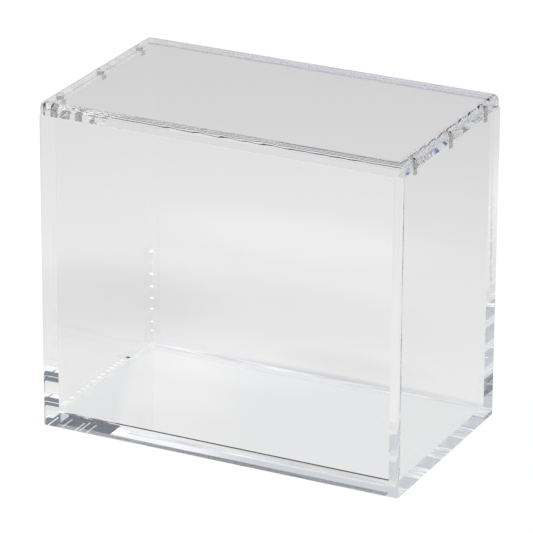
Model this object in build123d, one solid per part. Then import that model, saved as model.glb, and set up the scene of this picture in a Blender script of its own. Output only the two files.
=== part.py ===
"""Clear acrylic display case with a loose magnetic lid, for one sealed box of trading cards.

Millimetres, +Z up, front face towards -Y. The origin is the centre of the underside.
Five sheets are welded into an open-topped case. The lid is a sixth sheet that lies on the
rims and is held by three pairs of disc magnets along each short side.
"""

import os

from build123d import *

# The case's outside, lid included, and the cast sheet that all of it is cut from: it is sold as
# 5 mm and runs a little thick
WIDTH = 154.0
DEPTH = 90.0
HEIGHT = 135.0
SHEET = 5.4

# Flame-polished corners and edges
LID_CORNER_RADIUS = 2.5
LID_TOP_RADIUS = 2.4
LID_UNDER_RADIUS = 0.3
CASE_CORNER_RADIUS = 0.9
CASE_RIM_RADIUS = 0.3

# Magnets: long ones in the lid, short ones in the rims of the two side panels. The lid's pockets
# are drilled deeper than their magnets, which leaves an air space over each.
MAGNET_DIAMETER = 3.0
LID_MAGNET_LENGTH = 3.0
LID_POCKET_DEPTH = 4.0
RIM_MAGNET_LENGTH = 2.5
MAGNET_RIM_CHAMFER = 0.15
MAGNET_END_INSET = 12.5  # from the front and back faces to the outer magnets' axes
POCKET_CLEARANCE = 0.05  # round each magnet, on the radius
RIM_MAGNET_PROUD = 0.05  # how far a rim magnet stands above the rim, so that the lid seats on it

SIDES = {"left": -1, "right": 1}
ROWS = {"front": -1, "middle": 0, "back": 1}

LID_UNDERSIDE = HEIGHT - SHEET
RIM = LID_UNDERSIDE - RIM_MAGNET_PROUD
INNER_WIDTH = WIDTH - 2 * SHEET
INNER_DEPTH = DEPTH - 2 * SHEET
MAGNET_ROW_SPACING = DEPTH / 2 - MAGNET_END_INSET


def upright_box(width, depth, height, x=0.0, y=0.0, z=0.0):
    """A box that stands at height z, centred on x and y."""
    return Pos(x, y, z) * Box(width, depth, height, align=(Align.CENTER, Align.CENTER, Align.MIN))


def magnet_places():
    """Every magnet axis, as its name's ending, x and y: three along the middle of each side sheet."""
    for side, side_sign in SIDES.items():
        for row, row_sign in ROWS.items():
            x = side_sign * (WIDTH - SHEET) / 2
            yield f"{side}_{row}", x, row_sign * MAGNET_ROW_SPACING


def magnet(length, x, y, z):
    """A nickel-plated cylinder magnet with broken rims, standing at height z."""
    plain = Cylinder(MAGNET_DIAMETER / 2, length, align=(Align.CENTER, Align.CENTER, Align.MIN))
    rims = plain.edges().filter_by(GeomType.CIRCLE)
    return Pos(x, y, z) * chamfer(rims, MAGNET_RIM_CHAMFER)


def magnet_pockets(depth, z):
    """Flat-ended blind pockets of one depth, from height z upwards."""
    radius = MAGNET_DIAMETER / 2 + POCKET_CLEARANCE
    pocket = Cylinder(radius, depth, align=(Align.CENTER, Align.CENTER, Align.MIN))
    return [Pos(x, y, z) * pocket for _, x, y in magnet_places()]


def case_envelope():
    """The outside of the welded case, with the corners and the rim as they are polished."""
    envelope = upright_box(WIDTH, DEPTH, RIM)
    envelope = fillet(envelope.edges().filter_by(Axis.Z), CASE_CORNER_RADIUS)
    return fillet(envelope.faces().sort_by(Axis.Z)[-1].edges(), CASE_RIM_RADIUS)


def case_panels():
    """The five welded sheets. All stand on the floor: the side sheets run the full depth, and the
    front and back sheets and the base lie between them."""
    outside = case_envelope()
    across_x = (WIDTH - SHEET) / 2
    across_y = (DEPTH - SHEET) / 2
    side_pockets = magnet_pockets(RIM_MAGNET_LENGTH, LID_UNDERSIDE - RIM_MAGNET_LENGTH)
    panels = {"base_panel": upright_box(INNER_WIDTH, INNER_DEPTH, SHEET)}
    for name, sign in {"front": -1, "back": 1}.items():
        sheet = upright_box(INNER_WIDTH, SHEET, RIM, y=sign * across_y)
        panels[f"{name}_panel"] = sheet & outside
    for side, sign in SIDES.items():
        sheet = upright_box(SHEET, DEPTH, RIM, x=sign * across_x)
        panels[f"{side}_panel"] = (sheet & outside) - side_pockets
    return panels


def lid_panel():
    """The lid: rounded corners, a full polished round along the top, and pockets from below."""
    sheet = upright_box(WIDTH, DEPTH, SHEET, z=LID_UNDERSIDE)
    sheet = fillet(sheet.edges().filter_by(Axis.Z), LID_CORNER_RADIUS)
    sheet = fillet(sheet.faces().sort_by(Axis.Z)[-1].edges(), LID_TOP_RADIUS)
    sheet = fillet(sheet.faces().sort_by(Axis.Z)[0].edges(), LID_UNDER_RADIUS)
    return sheet - magnet_pockets(LID_POCKET_DEPTH, LID_UNDERSIDE)


def magnets():
    """The pairs: one magnet of each in the lid, with its end flush, and one in the rim below."""
    made = {}
    for place, x, y in magnet_places():
        made[f"lid_magnet_{place}"] = magnet(LID_MAGNET_LENGTH, x, y, LID_UNDERSIDE)
        rim_floor = LID_UNDERSIDE - RIM_MAGNET_LENGTH
        made[f"rim_magnet_{place}"] = magnet(RIM_MAGNET_LENGTH, x, y, rim_floor)
    return made


os.makedirs("parts", exist_ok=True)
nodes = {**case_panels(), "lid_panel": lid_panel(), **magnets()}
for node, shape in nodes.items():
    export_step(shape, f"parts/{node}.step")
print(f"{len(nodes)} nodes, inside {INNER_WIDTH:g} x {INNER_DEPTH:g} x {RIM - SHEET:g} mm")
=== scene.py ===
"""The look of the clear acrylic display case: polished sheets, welded joints, magnets, studio.

Metres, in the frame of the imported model: +Z up, the front face towards -Y. Sizes and places
whose comment says mm are turned into metres where they are used.
"""

import math

import bmesh
import bpy
from mathutils import Matrix, Vector, noise


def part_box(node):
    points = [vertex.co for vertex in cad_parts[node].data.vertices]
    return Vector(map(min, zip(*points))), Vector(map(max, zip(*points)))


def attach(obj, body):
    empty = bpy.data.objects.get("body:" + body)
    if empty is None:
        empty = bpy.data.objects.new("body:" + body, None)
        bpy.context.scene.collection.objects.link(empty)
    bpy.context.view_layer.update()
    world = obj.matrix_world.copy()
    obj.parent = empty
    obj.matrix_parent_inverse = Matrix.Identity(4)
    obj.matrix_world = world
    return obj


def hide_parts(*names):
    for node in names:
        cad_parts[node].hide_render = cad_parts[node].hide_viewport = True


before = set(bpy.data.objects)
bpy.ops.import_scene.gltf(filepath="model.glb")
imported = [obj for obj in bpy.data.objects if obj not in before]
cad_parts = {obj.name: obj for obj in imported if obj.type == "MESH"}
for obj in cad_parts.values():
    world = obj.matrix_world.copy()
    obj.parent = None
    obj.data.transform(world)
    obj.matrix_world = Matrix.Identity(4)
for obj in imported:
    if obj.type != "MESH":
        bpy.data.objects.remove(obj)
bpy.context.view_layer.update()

MM = 0.001
SIDES = {"left": -1, "right": 1}
ROWS = ("front", "middle", "back")
WHITE = (1, 1, 1, 1)

# Sizes read from the frame
LEFT_LOW, LEFT_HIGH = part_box("left_panel")
LID_LOW, LID_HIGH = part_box("lid_panel")
FLOOR_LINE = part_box("base_panel")[1][2]  # the height of the base's upper face
HALF_WIDTH = LID_HIGH[0]
HALF_DEPTH = LID_HIGH[1]
SHEET = LEFT_HIGH[0] - LEFT_LOW[0]
RIM = LEFT_HIGH[2]
INNER_HALF_WIDTH = HALF_WIDTH - SHEET
INNER_HALF_DEPTH = HALF_DEPTH - SHEET

# Rounded corners and edges, and how many chords each quarter round has
LID_CORNER_RADIUS, LID_CORNER_CHORDS = 2.5 * MM, 10
LID_TOP_RADIUS, LID_TOP_CHORDS = 2.4 * MM, 12
LID_UNDER_RADIUS, LID_UNDER_CHORDS = 0.3 * MM, 3
LID_PITCH = 0.5 * MM  # the spacing of the points along the lid's straight edges
CASE_CORNER_RADII = {-1: 1.3 * MM, 1: 0.4 * MM}  # the upright corners at the front and at the back
CASE_CORNER_CHORDS = 6
CASE_RIM_RADIUS, CASE_RIM_CHORDS = 0.3 * MM, 4
WELD_GROOVE = 0.35 * MM  # the base's broken upper edge at the front, which the solvent leaves open
CREASE = math.radians(40)  # an edge that turns more than this stays sharp
BY_AREA = 100  # the shading follows the larger faces alone

# The magnets' blind pockets
POCKET_CLEARANCE = 0.05 * MM
POCKET_CHORDS = 48
LID_POCKET_DEPTH = 4.0 * MM

# Waves that flame polishing leaves in the lid's edge. Their swing is in parts of the depth.
WAVE_DEPTH = 0.06 * MM
CALM = 0.5  # how far the edge is sunk where it came out smooth, in parts of the depth
SHORT_WAVE, SHORT_SWING = 6.5 * MM, 0.6
LONG_WAVE, LONG_SWING = 6.0 * MM, 1.7
NOISE_HALF = 0.5  # noise runs from about minus this to this
EDGE_WIDTH = 9 * MM  # a point nearer than this to a side of the lid belongs to that side's edge
LONG_WAVES_START = -35 * MM
FADE_LEFT, FADE_RIGHT = 15 * MM, 10 * MM  # over how far the long waves start and end
FADE_ROUND = 0.25  # the part of the round's turn over which the waves start, and over which they end

# Materials
ACRYLIC_IOR = 1.49
NICKEL_COLOR = (0.62, 0.605, 0.58, 1)
NICKEL_GRAIN = 1500
NICKEL_NOISE, NICKEL_ROUGHNESS = (0.3, 0.7), (0.08, 0.2)  # from what noise to what roughness
# A dark grey speck on the left sheet's floor weld: a painted dark reflection
DARK_SPECK_COLOR = (0.22, 0.20, 0.24, 1)
DARK_SPECK_ROUGHNESS = 0.9
HAZE_COLOR = (0.62, 0.65, 0.72, 1)
CEMENT_COLOR = (0.9, 0.9, 0.91, 1)
CEMENT_ROUGHNESS = 0.7
# The cement's glow is painted light, standing in for the light trapped in the sheets
CEMENT_PAINTED_GLOW = 0.85
THICK_COVER, THIN_COVER, RUN_COVER = 0.9, 0.4, 0.55  # how much dried cement hides of what is behind it
FAINT_FROM = (2.4, 2.6)  # the bounces of light after which a fleck is a mirror image
FAINT = 0.15  # how much of a fleck's mirror image is kept
STEEP_RUN = 0.06  # how much of a thin run of cement is left when it is looked at steeply
FLATTENING = (0.3, 0.6)  # Layer Weight's Facing, from a steep line of sight to a flat one
HAZE_FLATTENING = (0.4, 0.65)

# The sawn lower edges. How much of the floor shows through them is given for the left end, the
# middle and the right end, then where it changes on the left and on the right. These shares are
# painted light and shade: the front edge is kept dark, and each edge is lighter or darker from end to
# end.
SAWN_TINT = (0.93, 0.95, 1.0)
SAW_GRAIN = 700
SAW_STRETCH = 0.06  # how much slower the marks change along the cut than across it
SAW_NOISE, SAW_BRIGHTNESS = (0.35, 0.65), (0.8, 1.15)  # from what noise to what brightness
PAINTED_THROUGH_FRONT = (0.26, 0.05, 0.19), (-40 * MM, 0), (30 * MM, 70 * MM)
PAINTED_THROUGH_BACK = (0.95, 0.93, 0.95), (-70 * MM, 0), (54 * MM, 58 * MM)
MIDDLE = (-10 * MM, 10 * MM)  # Y, from what counts as the front to what counts as the back


# ---- node trees ---------------------------------------------------------------------------


class Graph:
    """Short calls for building the node tree of a material or a world."""

    def __init__(self, owner, output):
        owner.use_nodes = True
        self.tree = owner.node_tree
        self.tree.nodes.clear()
        self.output = self.tree.nodes.new(output)

    def node(self, kind, inputs, **settings):
        """A new node. An input is a number, a colour or the output of another node."""
        node = self.tree.nodes.new(kind)
        for key, value in settings.items():
            setattr(node, key, value)
        for key, value in inputs.items():
            if hasattr(value, "is_output"):
                self.tree.links.new(value, node.inputs[key])
            else:
                node.inputs[key].default_value = value
        return node

    def read(self, kind, output):
        """One output of a node that takes no input."""
        return self.tree.nodes.new(kind).outputs[output]

    def show(self, shader):
        """Sends a shader node to the tree's output."""
        self.tree.links.new(shader.outputs[0], self.output.inputs[0])

    def math(self, operation, first, second):
        """Two numbers added, multiplied and so on."""
        return self.node("ShaderNodeMath", {0: first, 1: second}, operation=operation).outputs[0]

    def ramp(self, value, low, high, start=0.0, end=1.0):
        """A smooth step of value from low to high, going from start to end."""
        inputs = {"Value": value, "From Min": low, "From Max": high, "To Min": start, "To Max": end}
        return self.node("ShaderNodeMapRange", inputs, interpolation_type="SMOOTHSTEP").outputs[0]

    def between(self, value, rise, fall):
        """1 between a smooth step up and a smooth step down, and 0 outside them."""
        return self.math("MULTIPLY", self.ramp(value, *rise), self.ramp(value, *fall, 1, 0))

    def blend(self, factor, first, second):
        """A number between two others, by the Mix node's number sockets."""
        return self.node("ShaderNodeMix", {0: factor, 2: first, 3: second}).outputs[0]

    def mix(self, factor, first, second):
        """A colour between two others, by the Mix node's colour sockets."""
        return self.node("ShaderNodeMix", {0: factor, 6: first, 7: second}, data_type="RGBA").outputs[2]

    def mix_shaders(self, factor, first, second):
        """A shader node between two others."""
        return self.node("ShaderNodeMixShader", {0: factor, 1: first.outputs[0], 2: second.outputs[0]})

    def parts(self, vector):
        """The X, Y and Z parts of a vector."""
        return self.node("ShaderNodeSeparateXYZ", {0: vector}).outputs

    def length(self, vector):
        """The length of a vector."""
        return self.node("ShaderNodeVectorMath", {0: vector}, operation="LENGTH").outputs["Value"]

    def spot(self, place, x, y, wide, deep):
        """1 at a place on the floor, fading to 0 an oval away, all in mm."""
        inputs = {0: place, 1: (1 / (wide * MM), 1 / (deep * MM), 0), 2: (-x / wide, -y / deep, 0)}
        away = self.node("ShaderNodeVectorMath", inputs, operation="MULTIPLY_ADD").outputs[0]
        return self.ramp(self.length(away), SPOT_CORE, 1, 1, 0)

    def mirrored(self):
        """1 for light that comes by a reflection, and not through a sheet."""
        glossy = self.read("ShaderNodeLightPath", "Is Glossy Ray")
        through = self.read("ShaderNodeLightPath", "Is Transmission Ray")
        return self.math("MULTIPLY", glossy, self.math("SUBTRACT", 1.0, through))


def new_material(name):
    """A material and its graph."""
    material = bpy.data.materials.new(name)
    return material, Graph(material, "ShaderNodeOutputMaterial")


# ---- materials ----------------------------------------------------------------------------


def acrylic():
    """Clear cast acrylic."""
    material, graph = new_material("polished_acrylic")
    inputs = {"Base Color": WHITE, "Transmission Weight": 1, "IOR": ACRYLIC_IOR, "Roughness": 0}
    graph.show(graph.node("ShaderNodeBsdfPrincipled", inputs))
    return material


def weld():
    """A solvent weld: the two sheets are one there, so light crosses it unbent."""
    material, graph = new_material("solvent_weld")
    graph.show(graph.node("ShaderNodeBsdfTransparent", {}))
    return material


def painted_share_along(graph, x, levels, left, right):
    """How much of the floor shows through a sawn edge, from its left end to its right: painted light and
    shade.
    """
    at_left, in_middle, at_right = levels
    rise = graph.ramp(x, *right, 0, at_right - in_middle)
    return graph.math("ADD", graph.ramp(x, *left, at_left, in_middle), rise)


def sawn_edge():
    """The lower edge of the front and back sheets: sawn along their length, not polished. Looked
    at steeply it lets the floor under it through; along a flat line of sight it scatters, and
    only part of the floor shows."""
    material, graph = new_material("sawn_edge")
    place = graph.read("ShaderNodeTexCoord", "Object")
    x, y, _ = graph.parts(place)
    stretch = {0: place, 1: (SAW_STRETCH, 1, 1)}
    drawn = graph.node("ShaderNodeVectorMath", stretch, operation="MULTIPLY").outputs[0]
    marks = graph.node("ShaderNodeTexNoise", {"Vector": drawn, "Scale": SAW_GRAIN}).outputs["Fac"]
    streaks = {0: SAWN_TINT, "Scale": graph.ramp(marks, *SAW_NOISE, *SAW_BRIGHTNESS)}
    tint = graph.node("ShaderNodeVectorMath", streaks, operation="SCALE").outputs[0]
    matt = graph.node("ShaderNodeBsdfDiffuse", {"Color": tint})
    lit = graph.node("ShaderNodeBsdfTranslucent", {"Color": tint})
    # Painted light and shade: less of the floor shows on the front edge, and the share changes along each
    # edge
    front = painted_share_along(graph, x, *PAINTED_THROUGH_FRONT)
    back = painted_share_along(graph, x, *PAINTED_THROUGH_BACK)
    share = graph.blend(graph.ramp(y, *MIDDLE), front, back)
    flat = graph.ramp(graph.read("ShaderNodeLayerWeight", "Facing"), *FLATTENING)
    graph.show(graph.mix_shaders(graph.blend(flat, 1.0, share), matt, lit))
    return material


def nickel():
    """Nickel plate, dulled."""
    material, graph = new_material("nickel")
    place = graph.read("ShaderNodeTexCoord", "Object")
    grain = graph.node("ShaderNodeTexNoise", {"Vector": place, "Scale": NICKEL_GRAIN}).outputs["Fac"]
    rough = graph.ramp(grain, *NICKEL_NOISE, *NICKEL_ROUGHNESS)
    inputs = {"Base Color": NICKEL_COLOR, "Metallic": 1, "Roughness": rough}
    graph.show(graph.node("ShaderNodeBsdfPrincipled", inputs))
    return material


def haze():
    """Cement that has dulled the underside: clear when looked down through, grey along it."""
    material, graph = new_material("corner_haze")
    clear = graph.node("ShaderNodeBsdfTransparent", {})
    matt = graph.node("ShaderNodeBsdfDiffuse", {"Color": HAZE_COLOR})
    flat = graph.ramp(graph.read("ShaderNodeLayerWeight", "Facing"), *HAZE_FLATTENING)
    graph.show(graph.mix_shaders(flat, clear, matt))
    return material


def dried_cement(name, cover, one_sided):
    """White crust beside a weld, with a painted glow that stands in for the light trapped in the sheets.
    A one-sided crust is clear from the side where it is stuck to the sheet, and its mirror images
    in the other sheets are painted faint after a few bounces. A thin run shows most along a flat line of
    sight."""
    material, graph = new_material(name)
    clear = graph.node("ShaderNodeBsdfTransparent", {})
    crust = graph.node("ShaderNodeBsdfPrincipled", {
        "Base Color": CEMENT_COLOR,
        "Roughness": CEMENT_ROUGHNESS,
        # Painted glow
        "Emission Color": WHITE,
        "Emission Strength": CEMENT_PAINTED_GLOW,
    })
    if one_sided:
        front = graph.math("SUBTRACT", 1.0, graph.read("ShaderNodeNewGeometry", "Backfacing"))
        bounces = graph.read("ShaderNodeLightPath", "Ray Depth")
        part = graph.math("MULTIPLY", front, graph.ramp(bounces, *FAINT_FROM, cover, FAINT * cover))
    else:
        flat = graph.read("ShaderNodeLayerWeight", "Facing")
        part = graph.ramp(flat, *FLATTENING, STEEP_RUN * cover, cover)
    graph.show(graph.mix_shaders(part, clear, crust))
    return material


def dark_speck():
    """A dark grey speck that paints a dark reflection."""
    material, graph = new_material("speck")
    inputs = {"Base Color": DARK_SPECK_COLOR, "Roughness": DARK_SPECK_ROUGHNESS}
    graph.show(graph.node("ShaderNodeBsdfPrincipled", inputs))
    return material


SHEET_MATERIALS = (acrylic(), weld(), sawn_edge())
POLISHED, WELDED, SAWN = range(3)


# ---- sheets -------------------------------------------------------------------------------


def arc_steps(count):
    """Fractions from 0 to 1 for an arc of so many chords."""
    return [step / count for step in range(count + 1)]


def rounded_rectangle(half_x, half_y, radius, chords, pitch):
    """Points and outward normals round a rectangle, anticlockwise seen from above."""
    points = []
    corners = [(1, -1, -90), (1, 1, 0), (-1, 1, 90), (-1, -1, 180)]
    for index, (sx, sy, start) in enumerate(corners):
        centre = Vector((sx * (half_x - radius), sy * (half_y - radius)))
        for fraction in arc_steps(chords):
            angle = math.radians(start + 90 * fraction)
            normal = Vector((math.cos(angle), math.sin(angle)))
            points.append((centre + normal * radius, normal))
        begin, normal = points[-1]
        next_x, next_y, _ = corners[(index + 1) % len(corners)]
        end = Vector((next_x * (half_x - radius), next_y * (half_y - radius))) + normal * radius
        count = max(1, round((end - begin).length / pitch))
        for step in range(1, count):
            points.append((begin.lerp(end, step / count), normal))
    return points


def under_round(low, radius, chords):
    """(inset, height) up the small round of a lower edge."""
    angles = [math.radians(90 * fraction) for fraction in arc_steps(chords)]
    return [(radius * (1 - math.sin(a)), low + radius * (1 - math.cos(a))) for a in angles]


def top_round(high, radius, chords):
    """(inset, height) up the round of an upper edge."""
    angles = [math.radians(90 * fraction) for fraction in arc_steps(chords)]
    return [(radius * (1 - math.cos(a)), high - radius * (1 - math.sin(a))) for a in angles]


def circle(mesh, x, y, z, radius):
    """A ring of new vertices, anticlockwise seen from above."""
    turn = 2 * math.pi / POCKET_CHORDS
    return [
        mesh.verts.new((x + radius * math.cos(turn * step), y + radius * math.sin(turn * step), z))
        for step in range(POCKET_CHORDS)
    ]


def loop_edges(mesh, ring):
    """The closed chain of edges round a ring of vertices."""
    edges = []
    for start, end in zip(ring, ring[1:] + ring[:1]):
        edges.append(mesh.edges.get((start, end)) or mesh.edges.new((start, end)))
    return edges


def band(mesh, lower, upper, material=POLISHED):
    """Faces between two rings."""
    count = len(lower)
    faces = []
    for step in range(count):
        after = (step + 1) % count
        face = mesh.faces.new((lower[step], lower[after], upper[after], upper[step]))
        face.material_index = material
        faces.append(face)
    return faces


def flat_face(mesh, rings, material=POLISHED):
    """One flat face, with a hole for each ring after the first, as triangles."""
    edges = [edge for ring in rings for edge in loop_edges(mesh, ring)]
    made = bmesh.ops.triangle_fill(mesh, edges=edges, use_beauty=True)
    for item in made["geom"]:
        if isinstance(item, bmesh.types.BMFace):
            item.material_index = material


def pockets(mesh, kind, sides, mouth, end):
    """Blind round pockets for one kind of magnet, set in clear cement. Past the magnet the pocket
    holds air. Returns the rings of the mouths."""
    mouths = []
    for side in sides:
        for row in ROWS:
            low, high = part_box(f"{kind}_magnet_{side}_{row}")
            x, y = (low[0] + high[0]) / 2, (low[1] + high[1]) / 2
            radius = (high[0] - low[0]) / 2 + POCKET_CLEARANCE
            magnet_end = high[2] if end > mouth else low[2]
            outer = circle(mesh, x, y, mouth, radius)
            inner = circle(mesh, x, y, magnet_end, radius)
            band(mesh, outer, inner, WELDED)
            if end > magnet_end:
                roof = circle(mesh, x, y, end, radius)
                band(mesh, inner, roof)
                mesh.faces.new(roof)
            else:
                mesh.faces.new(inner).material_index = WELDED
            mouths.append(outer)
    return mouths


def make_piece(name, mesh, materials, body):
    """Turns the mesh under construction into a piece that rides on a body."""
    data = bpy.data.meshes.new(name)
    mesh.to_mesh(data)
    mesh.free()
    for material in materials:
        data.materials.append(material)
    piece = bpy.data.objects.new(name, data)
    bpy.context.scene.collection.objects.link(piece)
    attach(piece, body)
    return piece


def make_sheet(name, mesh, node, body):
    """Turns the mesh under construction into a smoothly shaded sheet that stands for its CAD node."""
    bmesh.ops.recalc_face_normals(mesh, faces=mesh.faces)
    for face in mesh.faces:
        face.smooth = True
    sheet = make_piece(name, mesh, SHEET_MATERIALS, body)
    sheet.data.set_sharp_from_angle(angle=CREASE)
    shading = sheet.modifiers.new("shading", "WEIGHTED_NORMAL")
    shading.keep_sharp = True
    shading.weight = BY_AREA
    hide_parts(node)


def wave(place, turn):
    """How far flame polishing has sunk the lid's edge at a place, in parts of the waves' depth:
    short waves along the right edge and round the front left corner, long slanted ones along the
    rest of the front. The left and back edges came out smooth."""
    front = place.y < EDGE_WIDTH - HALF_DEPTH
    if place.x > HALF_WIDTH - EDGE_WIDTH or front and place.x < LONG_WAVES_START:
        shift = turn * SHORT_WAVE
        point = Vector((place.x + shift, place.y + shift, 0)) / SHORT_WAVE
        return CALM + SHORT_SWING * noise.noise(point)
    if front:
        from_left = (place.x - LONG_WAVES_START) / FADE_LEFT
        from_right = (HALF_WIDTH - EDGE_WIDTH - place.x) / FADE_RIGHT
        point = Vector((place.x + turn * LONG_WAVE, 0, 0)) / LONG_WAVE
        return CALM + LONG_SWING * min(1, from_left, from_right) * (NOISE_HALF + noise.noise(point))
    return CALM


def lid():
    """The lid: rounded corners, a flame-polished round along its top, pockets from below."""
    mesh = bmesh.new()
    outline = rounded_rectangle(HALF_WIDTH, HALF_DEPTH, LID_CORNER_RADIUS, LID_CORNER_CHORDS, LID_PITCH)
    under = under_round(LID_LOW[2], LID_UNDER_RADIUS, LID_UNDER_CHORDS)
    over = top_round(LID_HIGH[2], LID_TOP_RADIUS, LID_TOP_CHORDS)
    rows = [(inset, z, 0.0, 0.0) for inset, z in under]
    for fraction, (inset, z) in zip(arc_steps(LID_TOP_CHORDS), over):
        strength = min(1, fraction / FADE_ROUND, (1 - fraction) / FADE_ROUND)
        rows.append((inset, z, math.radians(90 * fraction), strength))
    rings = []
    for inset, z, turn, strength in rows:
        ring = []
        for point, normal in outline:
            sunk = WAVE_DEPTH * strength * wave(point, turn)
            place = point - normal * (inset + sunk * math.cos(turn))
            ring.append(mesh.verts.new((*place, z - sunk * math.sin(turn))))
        rings.append(ring)
    for lower, upper in zip(rings, rings[1:]):
        band(mesh, lower, upper)
    flat_face(mesh, [rings[-1]])
    mouths = pockets(mesh, "lid", SIDES, LID_LOW[2], LID_LOW[2] + LID_POCKET_DEPTH)
    flat_face(mesh, [rings[0]] + mouths)
    make_sheet("lid_sheet", mesh, "lid_panel", "lid")


def upright_walls(mesh, outline, low_weld):
    """The walls of an upright sheet and the round of its rim, above an outline of points and
    normals. The outline's first and third walls are welded over their whole height, and wall
    number low_weld as far up as the base. Returns the lowest ring and the highest."""
    rows = [(0, 0), (0, SHEET)] + top_round(RIM, CASE_RIM_RADIUS, CASE_RIM_CHORDS)
    rings = []
    for inset, z in rows:
        rings.append([mesh.verts.new((*(point - normal * inset), z)) for point, normal in outline])
    for lower, upper in zip(rings, rings[1:]):
        faces = band(mesh, lower, upper)
        faces[0].material_index = WELDED
        faces[2].material_index = WELDED
        if lower is rings[0]:
            faces[low_weld].material_index = WELDED
    return rings[0], rings[-1]


def side_outline(sign):
    """A side sheet seen from above: two sharp inner corners, with points at the welds' ends,
    and two rounded outer ones. The rim is not rounded on the inside."""
    inner, outer = sign * INNER_HALF_WIDTH, sign * HALF_WIDTH
    points = [
        (Vector((inner, HALF_DEPTH)), Vector((0, 1))),
        (Vector((inner, INNER_HALF_DEPTH)), Vector((0, 0))),
        (Vector((inner, -INNER_HALF_DEPTH)), Vector((0, 0))),
        (Vector((inner, -HALF_DEPTH)), Vector((0, -1))),
    ]
    for sy, radius in CASE_CORNER_RADII.items():
        centre = Vector((outer - sign * radius, sy * (HALF_DEPTH - radius)))
        fractions = arc_steps(CASE_CORNER_CHORDS)
        for fraction in fractions if sy < 0 else reversed(fractions):
            angle = math.radians(90 * fraction)
            normal = Vector((sign * math.sin(angle), sy * math.cos(angle)))
            points.append((centre + normal * radius, normal))
    return points


def side_sheet(side):
    """A side sheet, the full depth of the case, with pockets in its rim."""
    mesh = bmesh.new()
    bottom, top = upright_walls(mesh, side_outline(SIDES[side]), 1)
    flat_face(mesh, [bottom])
    pocket_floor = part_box(f"rim_magnet_{side}_front")[0][2]
    flat_face(mesh, [top] + pockets(mesh, "rim", (side,), RIM, pocket_floor))
    make_sheet(f"{side}_sheet", mesh, f"{side}_panel", "case")


def long_sheet(name, sign):
    """The front or the back sheet, between the side sheets and down to the floor."""
    mesh = bmesh.new()
    inner, outer = sign * INNER_HALF_DEPTH, sign * HALF_DEPTH
    outline = [
        (Vector((INNER_HALF_WIDTH, inner)), Vector((0, 0))),
        (Vector((INNER_HALF_WIDTH, outer)), Vector((0, sign))),
        (Vector((-INNER_HALF_WIDTH, outer)), Vector((0, sign))),
        (Vector((-INNER_HALF_WIDTH, inner)), Vector((0, 0))),
    ]
    bottom, top = upright_walls(mesh, outline, 3)
    flat_face(mesh, [bottom], SAWN)
    flat_face(mesh, [top])
    make_sheet(f"{name}_sheet", mesh, f"{name}_panel", "case")


def base_sheet():
    """The base, welded all round. Its upper edge at the front is broken."""
    mesh = bmesh.new()
    rings = []
    for inset, z in ((0, 0), (0, SHEET - WELD_GROOVE), (WELD_GROOVE, SHEET)):
        front, back = inset - INNER_HALF_DEPTH, INNER_HALF_DEPTH
        corners = ((1, front), (1, back), (-1, back), (-1, front))
        rings.append([mesh.verts.new((sx * INNER_HALF_WIDTH, y, z)) for sx, y in corners])
    band(mesh, rings[0], rings[1], WELDED)
    band(mesh, rings[1], rings[2], WELDED)[3].material_index = POLISHED
    flat_face(mesh, [rings[0]])
    flat_face(mesh, [rings[2]])
    make_sheet("base_sheet", mesh, "base_panel", "case")


# ---- dried cement -------------------------------------------------------------------------

# Flecks on the left sheet's inner face, in mm. Lengths and heights are half of a fleck's own.
FLECK_X = (0.04 * MM - INNER_HALF_WIDTH) / MM
FLECK_ANGLES = (0, 35, 90, 145, 180, 215, 270, 325)
THICK, THIN, DARK_SPECK = range(3)

# Up the back corner, where they get smaller from one to the next, and most of one has come off
CORNER_FLECKS_Z = (45.2, 40.4, 35.3, 29.8, 24.7, 20.0, 14.3, 10.5)
CORNER_FLECKS_Y = 40.3
CORNER_LENGTH, CORNER_HEIGHT = 4.0, 0.75
LENGTH_LOSS, HEIGHT_LOSS = 0.2, 0.05
BROKEN_FLECK, BROKEN_LENGTH = 1, 1.2
CORNER_SLOPE, SLOPE_SWING, SLOPE_STEP = -0.36, 0.10, 1.9  # the step is in the noise that varies it

# Along the floor
FLOOR_FLECKS_Y = (-36.5, -34, -29, -23, -19.5, -16, -11, -6.5, -3, 1.2, 4.4, 7.2, 10, 13.1)
FLOOR_FLECKS_Z = 7.3
FLOOR_LENGTH, FLOOR_HEIGHT = 2.4, 0.4
FLOOR_SLOPE = -0.39
SIZE_SWING, SIZE_STEP = 0.5, 1.3
# The dark speck, a painted dark reflection
SPECK_Y, SPECK_Z = 18.0, 6.7
SPECK_LENGTH, SPECK_HEIGHT = 2.2, 0.45
BEAD_HEIGHT = 0.2

# Cement under the case, in mm
HAZE_PLACE = (-71.6, -49.0, -39.6, -24.0)  # left, right, front, back
HAZE_Z, RUNS_Z, PATCHES_Z = 0.06, 0.1, 0.05
RUNS_FRONT = -44.6
RUNS = ((-75.2, 0.5, 14), (-69.2, 0.5, 15), (-63.1, 0.6, 13), (-61.3, 0.5, 16), (-58.0, 0.5, 14))
PATCHES_LEFT, PATCHES_RIGHT = -76.9, -66
PATCHES = ((36, 44.8), (28, 28.8), (-3, 3), (-10.6, -9.8))  # the front and back of each


def fleck(mesh, y, z, slope, length, height, material):
    """A flat fleck with pointed ends, which slants down towards the back."""
    centre = Vector((FLECK_X, y, z))
    along = Vector((0, 1, slope)).normalized()
    up = Vector((0, 0, 1))
    ring = []
    for angle in FLECK_ANGLES:
        turn = math.radians(angle)
        place = centre + along * length * math.cos(turn) + up * height * math.sin(turn)
        ring.append(mesh.verts.new(place * MM))
    mesh.faces.new(ring).material_index = material


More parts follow.
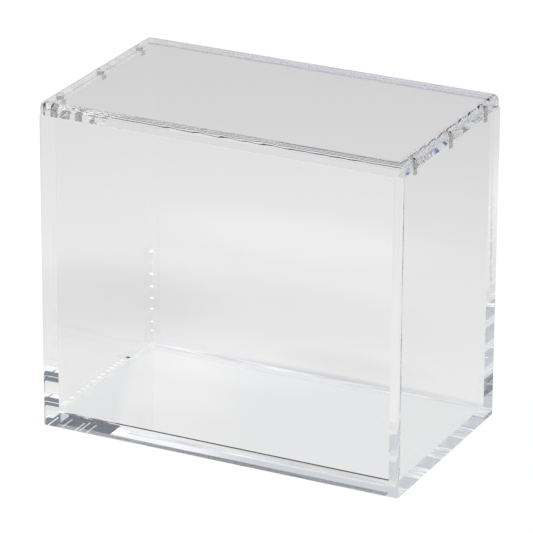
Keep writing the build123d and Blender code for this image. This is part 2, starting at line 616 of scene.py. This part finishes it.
def flecks():
    """Dried cement squeezed out of the left sheet's welds: short runs up the back corner, slanted
    ones along the floor, a bead on the floor line, and one dark speck, a painted dark reflection."""
    mesh = bmesh.new()
    for index, z in enumerate(CORNER_FLECKS_Z):
        length = BROKEN_LENGTH if index == BROKEN_FLECK else CORNER_LENGTH - LENGTH_LOSS * index
        height = CORNER_HEIGHT - HEIGHT_LOSS * index
        slope = CORNER_SLOPE + SLOPE_SWING * noise.noise(Vector((0, 0, SLOPE_STEP * index)))
        fleck(mesh, CORNER_FLECKS_Y, z, slope, length, height, THICK)
    for index, y in enumerate(FLOOR_FLECKS_Y):
        size = 1.0 + SIZE_SWING * noise.noise(Vector((0, SIZE_STEP * index, 0)))
        fleck(mesh, y, FLOOR_FLECKS_Z, FLOOR_SLOPE, FLOOR_LENGTH * size, FLOOR_HEIGHT, THIN)
    fleck(mesh, SPECK_Y, SPECK_Z, FLOOR_SLOPE, SPECK_LENGTH, SPECK_HEIGHT, DARK_SPECK)
    depth, low = INNER_HALF_DEPTH / MM, FLOOR_LINE / MM
    corners = ((-depth, low), (depth, low), (depth, low + BEAD_HEIGHT), (-depth, low + BEAD_HEIGHT))
    bead = mesh.faces.new([mesh.verts.new(Vector((FLECK_X, y, z)) * MM) for y, z in corners])
    bead.material_index = THIN
    thick = dried_cement("thick_cement", THICK_COVER, True)
    thin = dried_cement("thin_cement", THIN_COVER, True)
    make_piece("cement_flecks", mesh, (thick, thin, dark_speck()), "case")


def patch(mesh, left, right, front, back, z):
    """A flat rectangle, in mm."""
    corners = ((left, front), (right, front), (right, back), (left, back))
    mesh.faces.new([mesh.verts.new((x * MM, y * MM, z * MM)) for x, y in corners])


def cement_below():
    """Under the front left corner: a haze where the cement has dulled the underside, and thin
    dried runs from the front edge backwards. Further back, patches of cement across the left
    sheet's lower edge."""
    dulled = bmesh.new()
    patch(dulled, *HAZE_PLACE, HAZE_Z)
    make_piece("corner_haze", dulled, (haze(),), "case")
    runs = bmesh.new()
    for x, width, length in RUNS:
        patch(runs, x, x + width, RUNS_FRONT, RUNS_FRONT + length, RUNS_Z)
    for front, back in PATCHES:
        patch(runs, PATCHES_LEFT, PATCHES_RIGHT, front, back, PATCHES_Z)
    make_piece("cement_runs", runs, (dried_cement("cement_run", RUN_COVER, False),), "case")


def dress_magnets():
    """The magnets keep their CAD shape."""
    plate = nickel()
    for name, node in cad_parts.items():
        if "magnet" in name:
            node.data.materials.clear()
            node.data.materials.append(plate)


# ---- camera -------------------------------------------------------------------------------

IMAGE_SIZE = 533
FOCAL_PIXELS = 4211.9
AZIMUTH = 26.296
ELEVATION = 21.723
DISTANCE = 1591.8 * MM
ROLL = 0.005
AIM = Vector((20.79, -44.7, 84.64)) * MM
SENSOR = 36.0
CLIP_START = 0.05


def make_camera():
    """A long lens from the front right, a little above."""
    azimuth, elevation = math.radians(AZIMUTH), math.radians(ELEVATION)
    back = Vector((
        math.sin(azimuth) * math.cos(elevation),
        -math.cos(azimuth) * math.cos(elevation),
        math.sin(elevation),
    ))
    level = Vector((math.cos(azimuth), math.sin(azimuth), 0))
    down = level.cross(back)
    right = level * math.cos(ROLL) - down * math.sin(ROLL)
    down = level * math.sin(ROLL) + down * math.cos(ROLL)
    lens = bpy.data.cameras.new("camera")
    lens.sensor_width = SENSOR
    lens.lens = FOCAL_PIXELS / IMAGE_SIZE * SENSOR
    lens.clip_start = CLIP_START
    camera = bpy.data.objects.new("camera", lens)
    placed = Matrix((right, -down, back)).transposed().to_4x4()
    placed.translation = AIM + back * DISTANCE
    camera.matrix_world = placed
    bpy.context.scene.collection.objects.link(camera)
    bpy.context.scene.camera = camera


# ---- floor --------------------------------------------------------------------------------

FLOOR_Z = -0.4 * MM
FLOOR_HALF = 6.0
NEAR, FAR = 0.05, 0.50  # how far out the floor's tone starts to change, and where it stops
# Painted shade: the floor's glow seen through the sheets is greyer, and darker further out
SHADE_SEEN_THROUGH = (0.84, 0.71)  # the tone through the sheets, near and far
MIRRORED = (0.65, 0.10)  # the tone in the sheets' reflections, near and far
PAPER = 0.06  # the part of the floor's look that comes from the light on it, with its shadow
PAPER_LIGHT = PAPER / 4  # about what that part adds, which is taken off the rest
SPOT_CORE = 0.2  # the part of a spot's radius that has its full tone
# Painted shadows and patches of light on the floor, where the case's shadow and the light through it fall
FLOOR_PAINTED_LIGHT_AND_SHADE = (  # where (mm), how wide and deep (mm), how much lighter or darker
    (-125, 80, 75, 65, -0.12),
    (-40, 105, 110, 50, -0.05),
    (-80, 190, 90, 40, 0.05),
    (-30, 34, 60, 25, 0.06),
    (-140, -60, 70, 90, 0.12),
    (6, 68, 42, 16, -0.07),
    (-28, -28, 38, 30, -0.05),
    (10, 51, 80, 9, -0.26),  # the case's own shadow, close behind it
)


def floor():
    """A pale floor. It is white to the eye, and painted shade makes it a little greyer through the
    acrylic, with painted shadows and patches of light on it.
    """
    data = bpy.data.meshes.new("floor")
    corners = [(x * FLOOR_HALF, y * FLOOR_HALF, FLOOR_Z) for x, y in ((-1, -1), (1, -1), (1, 1), (-1, 1))]
    data.from_pydata(corners, [], [(0, 1, 2, 3)])
    piece = bpy.data.objects.new("floor", data)
    bpy.context.scene.collection.objects.link(piece)
    material, graph = new_material("floor_paper")
    place = graph.read("ShaderNodeTexCoord", "Object")
    away = graph.length(place)
    # Painted shade through the sheets, then painted shadows and patches of light
    tone = graph.ramp(away, NEAR, FAR, *SHADE_SEEN_THROUGH)
    # Each spot is a painted shadow or a painted patch of light
    for x, y, wide, deep, change in FLOOR_PAINTED_LIGHT_AND_SHADE:
        spot = graph.spot(place, x, y, wide, deep)
        tone = graph.math("ADD", tone, graph.math("MULTIPLY", spot, change))
    level = graph.blend(graph.read("ShaderNodeLightPath", "Is Camera Ray"), tone, 1.0)
    level = graph.blend(graph.mirrored(), level, graph.ramp(away, NEAR, FAR, *MIRRORED))
    glow = graph.node("ShaderNodeEmission", {"Strength": graph.math("SUBTRACT", level, PAPER_LIGHT)})
    matt = graph.node("ShaderNodeBsdfDiffuse", {"Color": (PAPER, PAPER, PAPER, 1)})
    graph.show(graph.node("ShaderNodeAddShader", {0: glow.outputs[0], 1: matt.outputs[0]}))
    data.materials.append(material)


# ---- room ---------------------------------------------------------------------------------

# Low down
LOW_LEFT = (0.76, 0.76, 0.77, 1)
LOW_RIGHT = (0.95, 0.95, 0.97, 1)
# Half way up, with a strip lamp at the back and a blue window at the front, both on the left
FRONT = (0.58, 0.60, 0.64, 1)
BACK_LEFT = (0.62, 0.64, 0.68, 1)
BACK_RIGHT = (0.20, 0.22, 0.26, 1)
LAMP = (0.97, 0.97, 0.99, 1)
BLUE = (0.06, 0.14, 0.45, 1)
# High up
HIGH_LEFT = (0.03, 0.03, 0.04, 1)
HIGH_RIGHT = (1.30, 1.30, 1.30, 1)
OVERHEAD = (0.55, 0.55, 0.56, 1)
# In the reflections on the outer faces
MIRRORED_ROOM = (0.34, 0.29, 0.30, 1)

# Where one gives way to the next, by the X, Y or Z part of the direction from the case
LOW_TOP_Z = (0.1, 0.25)
LOW_RIGHT_X = (-0.05, 0.2)
BACK_Y = (-0.1, 0.3)
BACK_RIGHT_X = (-0.25, 0.1)
LAMP_X = (-0.438, -0.435), (-0.424, -0.405)
LAMP_Z = (0.37, 0.39)
BLUE_X = (-0.66, -0.56), (-0.24, -0.19)
BLUE_Y = (-0.6, -0.5)
BLUE_Z = (0.265, 0.285), (0.362, 0.382)
HIGH_Z = (0.47, 0.58)
HIGH_RIGHT_X = (-0.05, 0.05)
OVERHEAD_Z = (0.75, 0.95)


def studio():
    """The world: a pale room that is dark at the back on the right. High up it is dark on the left
    and has a bright window on the right. To the eye it is white."""
    world = bpy.data.worlds.new("studio")
    bpy.context.scene.world = world
    graph = Graph(world, "ShaderNodeOutputWorld")
    x, y, z = graph.parts(graph.read("ShaderNodeTexCoord", "Generated"))
    lamp = graph.math("MULTIPLY", graph.between(x, *LAMP_X), graph.ramp(z, *LAMP_Z))
    blue = graph.math("MULTIPLY", graph.between(x, *BLUE_X), graph.between(z, *BLUE_Z))
    blue = graph.math("MULTIPLY", blue, graph.ramp(y, *BLUE_Y, 1, 0))
    back = graph.mix(graph.ramp(x, *BACK_RIGHT_X), graph.mix(lamp, BACK_LEFT, LAMP), BACK_RIGHT)
    walls = graph.mix(graph.ramp(y, *BACK_Y), FRONT, back)
    walls = graph.mix(blue, walls, BLUE)
    high = graph.mix(graph.ramp(x, *HIGH_RIGHT_X), HIGH_LEFT, HIGH_RIGHT)
    high = graph.mix(graph.ramp(z, *OVERHEAD_Z), high, OVERHEAD)
    low = graph.mix(graph.ramp(x, *LOW_RIGHT_X), LOW_LEFT, LOW_RIGHT)
    color = graph.mix(graph.ramp(z, *HIGH_Z), walls, high)
    color = graph.mix(graph.ramp(z, *LOW_TOP_Z, 1, 0), color, low)
    color = graph.mix(graph.mirrored(), color, MIRRORED_ROOM)
    color = graph.mix(graph.read("ShaderNodeLightPath", "Is Camera Ray"), color, WHITE)
    graph.show(graph.node("ShaderNodeBackground", {"Color": color}))


# ---- rendering ----------------------------------------------------------------------------

BOUNCES = 256


def rendering():
    """Enough bounces for light that runs along inside the sheets."""
    scene = bpy.context.scene
    scene.view_settings.view_transform = "Standard"
    scene.cycles.max_bounces = BOUNCES
    scene.cycles.transmission_bounces = BOUNCES
    scene.cycles.glossy_bounces = BOUNCES
    scene.cycles.transparent_max_bounces = BOUNCES


make_camera()
lid()
side_sheet("left")
side_sheet("right")
long_sheet("front", -1)
long_sheet("back", 1)
base_sheet()
flecks()
cement_below()
dress_magnets()
floor()
studio()
rendering()
